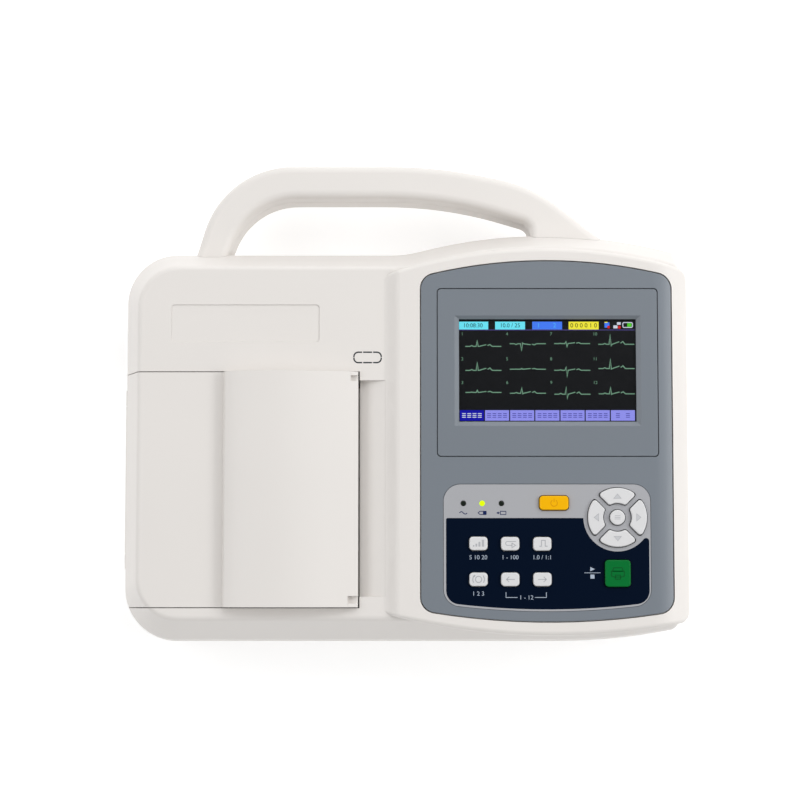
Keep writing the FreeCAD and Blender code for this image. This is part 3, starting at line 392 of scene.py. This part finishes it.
def key_hole(node):
    """Edge of the navy print round a key."""
    lo, hi = corners(node)
    grow = 2 * (KEY_CLEAR - KEY_FLANGE)
    return rounded_rect((lo.x + hi.x) / 2, (lo.y + hi.y) / 2, hi.x - lo.x + grow, hi.y - lo.y + grow, HOLE_R)


def bow_y(x, r):
    """The y of the front bow at x, for that radius about its centre."""
    return BOW_C[1] - math.sqrt(r * r - (x - BOW_C[0]) ** 2)


def navy_outline():
    """The navy field: bowed along the front, and cut out round the disc of the arrow keys."""
    left, right, bow = PANEL_LO.x + RIM_L, PANEL_HI.x - RIM_R, BOW_R - RIM_FRONT
    left_c, right_c = [(x, bow_y(x, bow - NAVY_CORNER))
                       for x in (left + NAVY_CORNER, right - NAVY_CORNER)]
    left_end, right_end = [math.degrees(math.atan2(y - BOW_C[1], x - BOW_C[0])) for x, y in (left_c, right_c)]
    tip_x = right - TIP_R
    tip_y = PAD_Y - math.sqrt((PAD_CLEAR + TIP_R) ** 2 - (tip_x - PAD_X) ** 2)
    tip_angle = math.degrees(math.atan2(tip_y - PAD_Y, tip_x - PAD_X))
    drop = NAVY_TOP - PAD_Y
    top_angle = math.degrees(math.atan2(drop, -math.sqrt(PAD_CLEAR ** 2 - drop ** 2)))

    points = [(left + NAVY_CHAMFER, NAVY_TOP), (left, NAVY_TOP - NAVY_CHAMFER)]
    points += arc(*left_c, NAVY_CORNER, 180, 360 + left_end, 8)
    x0, x1 = points[-1][0], right_c[0] + NAVY_CORNER * math.cos(math.radians(right_end))
    bow_x = [x0 + (x1 - x0) * k / BOW_STEPS for k in range(1, BOW_STEPS)]
    points += [(x, bow_y(x, bow)) for x in bow_x]
    points += arc(*right_c, NAVY_CORNER, right_end, 0, 8)
    points += arc(tip_x, tip_y, TIP_R, 0, 180 + tip_angle, 8)
    points += arc(PAD_X, PAD_Y, PAD_CLEAR, tip_angle, top_angle, 28)
    return points


holes = [key_hole(n) for n in nodes if n in NAVY_KEYS]
plate("navy_field", [navy_outline()] + holes, PANEL_TOP, NAVY)

# ---------------------------------------------------------------- signs under the lamps
MAINS_X, BATTERY_X, CHARGE_X = 30.24, 40.0, 49.8
LAMP_SIGN_Y = -59.75
WAVE_LENGTH, WAVE_HEIGHT, WAVE_STEPS = 4.0, 0.62, 16
WAVE_WIDTH, SIGN_WIDTH = 0.42, 0.36
CELL_UP = 0.85                       # half height of a cell


def around(cx, cy, points):
    """Points given from a middle, moved to it."""
    return [(cx + x, cy + y) for x, y in points]


wave = [(MAINS_X + WAVE_LENGTH * (k / WAVE_STEPS - 0.5),
         LAMP_SIGN_Y + WAVE_HEIGHT * math.sin(2 * math.pi * k / WAVE_STEPS)) for k in range(WAVE_STEPS + 1)]
strip("sign_mains", [wave], WAVE_WIDTH, PANEL_TOP, LED_SIGN)
pointed_cell = [(-2.1, 0), (-1.1, CELL_UP), (2.1, CELL_UP), (2.1, -CELL_UP), (-1.1, -CELL_UP)]
strip("sign_battery", [(around(BATTERY_X, LAMP_SIGN_Y, pointed_cell), True)], SIGN_WIDTH, PANEL_TOP, LED_SIGN)
plate("sign_battery_level", [rounded_rect(BATTERY_X + 1.2, LAMP_SIGN_Y, 1.6, 1.5, 0.1)], PANEL_TOP, LED_SIGN)
square_cell = [(-0.35, CELL_UP), (2.5, CELL_UP), (2.5, -CELL_UP), (-0.35, -CELL_UP)]
strip("sign_charge", [(around(CHARGE_X, LAMP_SIGN_Y, square_cell), True),
                      around(CHARGE_X, LAMP_SIGN_Y, [(-1.2, 0), (-0.4, 0)])], SIGN_WIDTH, PANEL_TOP, LED_SIGN)
arrow_head = [(-2.5, 0), (-1.2, 0.7), (-1.2, -0.7)]
plate("sign_charge_arrow", [around(CHARGE_X, LAMP_SIGN_Y, arrow_head)], PANEL_TOP, LED_SIGN)

# ---------------------------------------------------------------- numerals beside the keys
LEGEND_SIZE = 3.1
COLUMN_X = (37.9, 54.4, 71.0)
LEGEND_Y1, LEGEND_Y2 = -82.8, -101.5
PAIR_X, PAIR_TOP, PAIR_LOW = (52.2, 58.1, 67.1, 73.05), -100.7, -103.4
PAIR_TEXT_X, PAIR_TEXT_Y, PAIR_WIDTH = 62.7, -103.5, 0.32
RUN_X, RUN_Y, RUN_HALF, RUN_WIDTH = 96.9, -90.7, 4.2, 0.28

UPPER_TEXTS = ("5 10 20", "1 - 100", "1.0 / 1:1")
digits("legend_upper", [(text, x, LEGEND_Y1) for text, x in zip(UPPER_TEXTS, COLUMN_X)],
       LEGEND_SIZE, PRINT_Z, LEGEND)
digits("legend_lower", [("1 2 3", COLUMN_X[0], LEGEND_Y2), ("1 - 12", PAIR_TEXT_X, PAIR_TEXT_Y)],
       LEGEND_SIZE, PRINT_Z, LEGEND)
strip("legend_pair", [[(PAIR_X[0], PAIR_TOP), (PAIR_X[0], PAIR_LOW), (PAIR_X[1], PAIR_LOW)],
                      [(PAIR_X[2], PAIR_LOW), (PAIR_X[3], PAIR_LOW), (PAIR_X[3], PAIR_TOP)]],
      PAIR_WIDTH, PRINT_Z, LEGEND)
strip("legend_run_line", [around(RUN_X, RUN_Y, [(-RUN_HALF, 0), (RUN_HALF, 0)])], RUN_WIDTH, PRINT_Z, LEGEND)
run_mark, stop_mark = [(-1.1, 0.8), (1.3, 1.9), (-1.1, 3.0)], rounded_rect(0, -1.95, 2.1, 2.1, 0.1)
plate("legend_run", [around(RUN_X, RUN_Y, mark) for mark in (run_mark, stop_mark)], PRINT_Z, LEGEND)

# ---------------------------------------------------------------- signs on the keys
ARROW_WAYS = {"key_up": (0, 1), "key_down": (0, -1), "key_left": (-1, 0), "key_right": (1, 0)}
ARROW_TIP, ARROW_BACK, ARROW_HALF, ARROW_LINE = 1.3, 1.0, 1.9, 0.22
for key, (dx, dy) in ARROW_WAYS.items():
    cx, cy, top = mid(key)
    arrow = around(cx, cy, [(dx * ARROW_TIP, dy * ARROW_TIP)]
                   + [(-dx * ARROW_BACK - s * dy * ARROW_HALF, -dy * ARROW_BACK - s * dx * ARROW_HALF)
                      for s in (1, -1)])
    plate(key + "_sign_fill", [arrow], top, KEY_FILL, key + "_cap")
    strip(key + "_sign", [(arrow, True)], ARROW_LINE, top + THIN / MM, KEY_SIGN, key + "_cap")


def key_sign(key, lines, width, look=KEY_SIGN):
    """Line sign on a key; points are mm from the key's middle."""
    cx, cy, top = mid(key)
    moved = []
    for line in lines:
        pts, closed = points_of(line)
        pts = around(cx, cy, pts)
        moved.append((pts, True) if closed else pts)
    strip(key + "_sign", moved, width, top, look, key + "_cap")


FINE, MEDIUM, BROAD = 0.32, 0.42, 0.5       # widths of the signs' lines
key_sign("key_menu", [[(-1.5, d), (1.5, d)] for d in (-0.85, 0.0, 0.85)], FINE)
key_sign("key_prev", [[(2.3, 0), (-1.9, 0)], [(-0.6, 1.4), (-1.95, 0), (-0.6, -1.4)]], MEDIUM)
key_sign("key_next", [[(-2.3, 0), (1.9, 0)], [(0.6, 1.4), (1.95, 0), (0.6, -1.4)]], MEDIUM)
key_sign("key_copy", [[(-1.5, -1.2), (-0.45, -1.2), (-0.45, 1.8), (1.5, 1.8), (1.5, -1.2), (2.7, -1.2)]],
         BROAD)
key_sign("key_recall", [[(3.0, 1.15), (-1.4, 1.15)] + arc(-1.4, 0.15, 1.0, 100, 260, 8)
                        + [(-1.4, -0.85), (0.9, -0.85)],
                        [(0.9, 0.3), (0.9, -2.0), (2.8, -0.85), (0.9, 0.3)]], MEDIUM)
key_sign("key_mode", [(circle(0, 0, 1.6, 24), True), arc(0, 0, 3.0, 140, 215, 8), arc(0, 0, 3.0, -35, 40, 8),
                      [(-1.9, 2.4), (-2.2, 1.2)]], BROAD)
BARS = ((-2.5, 0.7, 0.8), (-1.1, 0.9, 1.5), (0.5, 1.0, 2.5), (2.3, 1.2, 3.5))     # place, width, height
BAR_FOOT = -1.6
cx, cy, top = mid("key_sens")
plate("key_sens_sign", [rounded_rect(cx + x, cy + BAR_FOOT + h / 2, w, h, 0.1, 2) for x, w, h in BARS], top,
      KEY_SIGN, "key_sens_cap")
key_sign("key_power", [arc(0, -0.1, 1.7, 125, 415, 20), [(0, 0.5), (0, 2.1)]], MEDIUM,
         AMBER_SIGN)
# the printer on the start key
LID = [(-2.3, 1.1), (-2.7, 1.4), (-2.2, 2.9), (2.2, 2.9), (2.7, 1.4), (2.3, 1.1)]
BODY = [(-3.3, 1.1), (3.3, 1.1), (3.3, -1.4), (1.7, -1.9), (-1.7, -1.9), (-3.3, -1.4)]
SHEET = [(-1.3, -0.9), (1.3, -0.9), (1.3, -3.0), (-1.3, -3.0)]
key_sign("key_start", [(LID, True), (BODY, True), (SHEET, True)], SIGN_WIDTH, GREEN_SIGN)

# ---------------------------------------------------------------- picture on the screen
PICTURE_GAP = 0.005
LCD_Z = mid("lcd_panel")[2] + PICTURE_GAP
TOP_Z = LCD_Z + THIN / MM            # second layer of the picture
SCREEN_X0, SCREEN_X1 = 28.35, 120.2
TRACE_WIDTH, LABEL_SIZE = 0.5, 2.3
COL_X, COL_W = (31.6, 54.8, 78.0, 101.1), 18.8
ROW_Y = (28.2, 15.1, 2.7)
LABEL_X, LABEL_DY = (30.0, 53.4, 76.4, 99.4), 5.6
# height of each lead's main wave and of the dip after it, and each base line's shift, mm
LEADS = (((3.0, 0.0), (-3.7, 0.4), (1.0, -1.8), (5.1, -0.7)),
         ((4.2, 0.0), (0.5, 0.0), (1.7, -3.5), (5.0, -0.3)),
         ((1.1, 0.0), (2.8, -0.3), (3.8, -2.4), (3.4, -0.3)))
LIFT = ((-0.85, 0.55, 0.6, 0.25), (-0.35, 0.25, -0.3, 0.6), (0.5, 0.05, -0.45, -0.25))


def beat(x, y, main, dip):
    """One heart beat along a base line, as two lines with the small break that the picture has."""
    first = math.copysign(0.45, main) * min(1, abs(main) / 3)
    late = 0.22 * main + 0.35 if main > 0 else -0.6
    rise = [(0, 0), (2.4, 0), (3.3, first), (4.2, 0), (5.6, 0), (6.2, main), (6.7, dip), (7.2, 0),
            (10.3, late * 0.75), (10.9, late * 0.9)]
    fall = [(11.6, late * 0.4), (12.8, late), (14.0, 0), (COL_W, 0)]
    return [around(x, y, rise), around(x, y, fall)]


beats, labels = [], []
for i, row in enumerate(LEADS):
    for j, (main, dip) in enumerate(row):
        beats += beat(COL_X[j], ROW_Y[i] + LIFT[i][j], main, dip)
        labels.append((str(3 * j + i + 1), LABEL_X[j], ROW_Y[i] + LABEL_DY))
strip("screen_traces", beats, TRACE_WIDTH, LCD_Z, TRACE)
digits("screen_lead_numbers", labels, LABEL_SIZE, LCD_Z, TRACE)

BOX_Y, BOX_H = 38.3, 4.1
CLOCK_SIZE, COUNT_SIZE = 3.0, 3.2
BOXES = ((SCREEN_X0, 43.6, CYAN), (47.2, 62.85, CYAN), (66.6, 82.2, BLUE), (85.65, 101.35, YELLOW))
for k, (x0, x1, look) in enumerate(BOXES):
    plate(f"screen_box_{k + 1}", [box_between(x0, x1, BOX_Y, BOX_H)], LCD_Z, look)
digits("screen_clock", [("10:08:30", 35.6, BOX_Y), ("10.0 / 25", 55.0, BOX_Y)], CLOCK_SIZE, TOP_Z, NIGHT)
digits("screen_count", [("1", 69.9, BOX_Y), ("2", 78.3, BOX_Y)], COUNT_SIZE, TOP_Z, SKY)
digits("screen_state", [("0 0 0 0 1 0", 93.5, BOX_Y)], COUNT_SIZE, TOP_Z, NIGHT)
RULE_Y, RULE_H = 36.0, 0.3
plate("screen_rule", [box_between(SCREEN_X0, SCREEN_X1, RULE_Y, RULE_H)], LCD_Z, PURPLE)

# small signs at the right of the top row: a card, a link, each with a red dot, and a cell
CARD, CARD_TAB = (105.7, 38.6, 2.6, 2.8, 0.2, 2), (105.2, 40.0, 1.6, 0.5, 0.1, 2)
LINKS = ((110.1, 37.6, 2.2, 1.6, 0.2, 2), (111.9, 39.4, 2.0, 1.4, 0.2, 2))
DOTS = ((106.5, 37.5, 0.8, 16), (112.1, 37.4, 0.85, 16))
CELL_Y, CELL_LINE = BOX_Y + 0.3, 0.45
plate("screen_card", [rounded_rect(*CARD)], LCD_Z, BLUE)
plate("screen_card_tab", [rounded_rect(*CARD_TAB)], TOP_Z, YELLOW)
plate("screen_link", [rounded_rect(*part) for part in LINKS], LCD_Z, WHITE)
plate("screen_warnings", [circle(*dot) for dot in DOTS], TOP_Z, RED)
strip("screen_cell", [(rounded_rect(116.5, CELL_Y, 5.0, 2.6, 0.6, 3), True)], CELL_LINE, LCD_Z, WHITE)
plate("screen_cell_level", [rounded_rect(117.4, CELL_Y, 2.2, 1.9, 0.1, 2)], LCD_Z, GREEN)

TAB_N, TAB_Y, TAB_H, TAB_GAP = 7, -8.85, 5.5, 0.6
TAB_PITCH = (SCREEN_X1 - SCREEN_X0) / TAB_N
TAB_X = [SCREEN_X0 + TAB_PITCH * (k + 0.5) for k in range(TAB_N)]
MARK_PITCH, MARK_W, BAR_H, BAR_PITCH = 2.75, 2.0, 0.42, 0.95
LAST_SPREAD = 2.6                    # the last tab's two marks, each side of its middle
tabs = [rounded_rect(x, TAB_Y, TAB_PITCH - TAB_GAP, TAB_H, 0.1, 1) for x in TAB_X]
plate("screen_tab_chosen", tabs[:1], LCD_Z, INDIGO)
plate("screen_tabs", tabs[1:], LCD_Z, LAVENDER)


def word(x, n):
    """A row of n three-bar marks that stands for a word."""
    out = []
    for k in range(n):
        mark_x = x + (k - (n - 1) / 2) * MARK_PITCH
        out += [rounded_rect(mark_x, TAB_Y + d * BAR_PITCH, MARK_W, BAR_H, 0.05, 1) for d in (-1, 0, 1)]
    return out


plate("screen_tab_chosen_word", word(TAB_X[0], 4), TOP_Z, WHITE)
words = [bar for x in TAB_X[1:-1] for bar in word(x, 4)]
words += word(TAB_X[-1] - LAST_SPREAD, 1) + word(TAB_X[-1] + LAST_SPREAD, 1)
plate("screen_tab_words", words, TOP_Z, SOFT_BLUE)

# ---------------------------------------------------------------- mark beside the paper cover
PLATFORM_Z = 66.0
MARK_X, MARK_Y, MARK_R = -19.5, 21.65, 2.3
MARK_LINE, MARK_GAP = 0.72, 0.55
MARK_L, MARK_H = 15.0 - MARK_LINE, 6.2 - MARK_LINE      # along the line's middle
MARK_CUT = 2.6                                          # the long sides' gaps, each side of the middle


def mark_lines():
    """The broken ring: a short line in the middle of each long side and a bend at each corner."""
    lines = []
    for up in (1, -1):
        side_y = up * MARK_H / 2
        lines.append([(-MARK_CUT + MARK_GAP / 2, side_y), (MARK_CUT - MARK_GAP / 2, side_y)])
        for way in (1, -1):
            bend = [(x, up * y) for x, y in arc(way * (MARK_L / 2 - MARK_R), MARK_H / 2 - MARK_R, MARK_R,
                                                90, 0 if way > 0 else 180, 8)]
            start, end = (way * (MARK_CUT + MARK_GAP / 2), side_y), (bend[-1][0], up * MARK_GAP / 4)
            lines.append([start] + bend + [end])
    return [around(MARK_X, MARK_Y, line) for line in lines]


strip("cover_mark", mark_lines(), MARK_LINE, PLATFORM_Z, DARK_PRINT)

# ---------------------------------------------------------------- patient cable socket
SOCKET_LO, SOCKET_HI = corners("patient_connector")
SOCKET_X, SOCKET_Y, SOCKET_Z = SOCKET_HI.x, (SOCKET_LO.y + SOCKET_HI.y) / 2, 26.0
SHELL_DEPTH = 3.0                    # the shell stands this far out of the connector's body
SHELL_R, SHELL_UP = 2.0, 1.8         # corners of the D-shaped face and their height above its middle
WIDE, NARROW = 10.6, 9.8             # half width between the corners' centres, upper and lower
FACE_THICK, CONTACT_THICK, CONTACT_WALL = 0.5, 0.3, 0.3
PIN_PITCH, PIN_ROW, PIN_R = 2.77, 1.42, 0.72
NUT_AT, NUT_R, NUT_BORE = 16.65, 2.9, 1.3

face_corners = ((WIDE, SHELL_UP), (-WIDE, SHELL_UP), (-NARROW, -SHELL_UP), (NARROW, -SHELL_UP))
face = []
for k, (y, z) in enumerate(face_corners):
    face += arc(SOCKET_Y + y, SOCKET_Z + z, SHELL_R, 90 * k, 90 * k + 90, 6)
pins = [(SOCKET_Y + (k - (n - 1) / 2) * PIN_PITCH, SOCKET_Z + dz) for n, dz in ((8, PIN_ROW), (7, -PIN_ROW))
        for k in range(n)]
plate("socket_face", [face] + [circle(y, z, PIN_R, 16) for y, z in pins], SOCKET_X, LOOKS["inlet_black"],
      thick=FACE_THICK * MM, faces_right=True)
rings = [circle(y, z, r, 16) for y, z in pins for r in (PIN_R, PIN_R - CONTACT_WALL)]
plate("socket_contacts", rings, SOCKET_X, LOOKS["brass"], thick=CONTACT_THICK * MM,
      faces_right=True)
nuts = []
for nut_y in (SOCKET_Y - NUT_AT, SOCKET_Y + NUT_AT):
    nuts += [circle(nut_y, SOCKET_Z, NUT_R, 6), circle(nut_y, SOCKET_Z, NUT_BORE, 24)]
plate("socket_nuts", nuts, SOCKET_X - SHELL_DEPTH, LOOKS["screw_zinc"],
      thick=SHELL_DEPTH * MM, faces_right=True)

# ---------------------------------------------------------------- floor and light
FLOOR_SIZE = 8.0
SKY_STOPS = ((0.0, 0.95), (0.3, 0.8), (0.82, 0.8), (0.94, 0.06))      # height and brightness, dark overhead
FRONT_SKY, BACK_SKY = 0.62, 1.05      # the studio is dimmer on the user's side
# softboxes: place, width, height and radiance
SOFTBOXES = {
    "right_side": ((1.2, 0.1, 0.9), 1.2, 0.5, 4.7),
    "left_side": ((-1.0, 0.0, 1.0), 1.0, 0.6, 2.05),
    "back_low": ((0.0, 1.5, 0.55), 1.4, 0.5, 0.9),
    "key_high": ((0.3, 0.8, 1.2), 0.8, 0.8, 2.1),
}
LIGHT_AIM = Vector((0, 0, 0.06))

scene = bpy.context.scene
bpy.ops.mesh.primitive_plane_add(size=FLOOR_SIZE, location=(0, 0, 0))
floor = bpy.context.object
floor.name = "floor"
floor.data.materials.append(material("floor_white", (232, 232, 232), 0.95, vary=0.0, glow=0.42,
                                     glow_rgb=(255, 255, 255), shine=0.0))

world = bpy.data.worlds.new("studio")
scene.world = world
world.use_nodes = True
wt = world.node_tree
background = wt.nodes["Background"]
way = wt.nodes.new("ShaderNodeTexCoord")
split = wt.nodes.new("ShaderNodeSeparateXYZ")
ramp = wt.nodes.new("ShaderNodeValToRGB")
wt.links.new(way.outputs["Generated"], split.inputs[0])
wt.links.new(split.outputs["Z"], ramp.inputs["Fac"])
wt.links.new(ramp.outputs["Color"], background.inputs["Color"])
for k, (at, v) in enumerate(SKY_STOPS):
    stop = ramp.color_ramp.elements[k] if k < 2 else ramp.color_ramp.elements.new(at)
    stop.position = at
    stop.color = (v, v, v, 1)
front_to_back = wt.nodes.new("ShaderNodeMapRange")
front_to_back.inputs["From Min"].default_value = -1.0
front_to_back.inputs["From Max"].default_value = 1.0
front_to_back.inputs["To Min"].default_value = FRONT_SKY
front_to_back.inputs["To Max"].default_value = BACK_SKY
wt.links.new(split.outputs["Y"], front_to_back.inputs["Value"])
wt.links.new(front_to_back.outputs["Result"], background.inputs["Strength"])


def softbox(name, place, width, height, radiance):
    """Rectangular light of that radiance, pointing at the object."""
    light = bpy.data.lights.new(name, "AREA")
    light.shape = "RECTANGLE"
    light.size = width
    light.size_y = height
    light.energy = radiance * math.pi * width * height
    ob = bpy.data.objects.new(name, light)
    scene.collection.objects.link(ob)
    ob.location = place
    ob.rotation_euler = (LIGHT_AIM - Vector(place)).to_track_quat("-Z", "Y").to_euler()


for name, values in SOFTBOXES.items():
    softbox(name, *values)

# ---------------------------------------------------------------- camera
TILT = math.asin(0.0864)              # a slight lean from the user's side
DISTANCE = 1.2
CAMERA_AIM = Vector((-0.00255, -0.0007, 0.066))
LENS_MM, SENSOR_MM = 103.46, 36.0
camera = bpy.data.cameras.new("camera")
camera.lens = LENS_MM
camera.sensor_width = SENSOR_MM
camera.dof.use_dof = False
camera.clip_start = 0.05
camera_obj = bpy.data.objects.new("camera", camera)
scene.collection.objects.link(camera_obj)
camera_obj.location = CAMERA_AIM + Vector((0, -math.sin(TILT), math.cos(TILT))) * DISTANCE
camera_obj.rotation_euler = (TILT, 0, 0)
scene.camera = camera_obj
scene.view_settings.view_transform = "Standard"
scene.view_settings.look = "None"
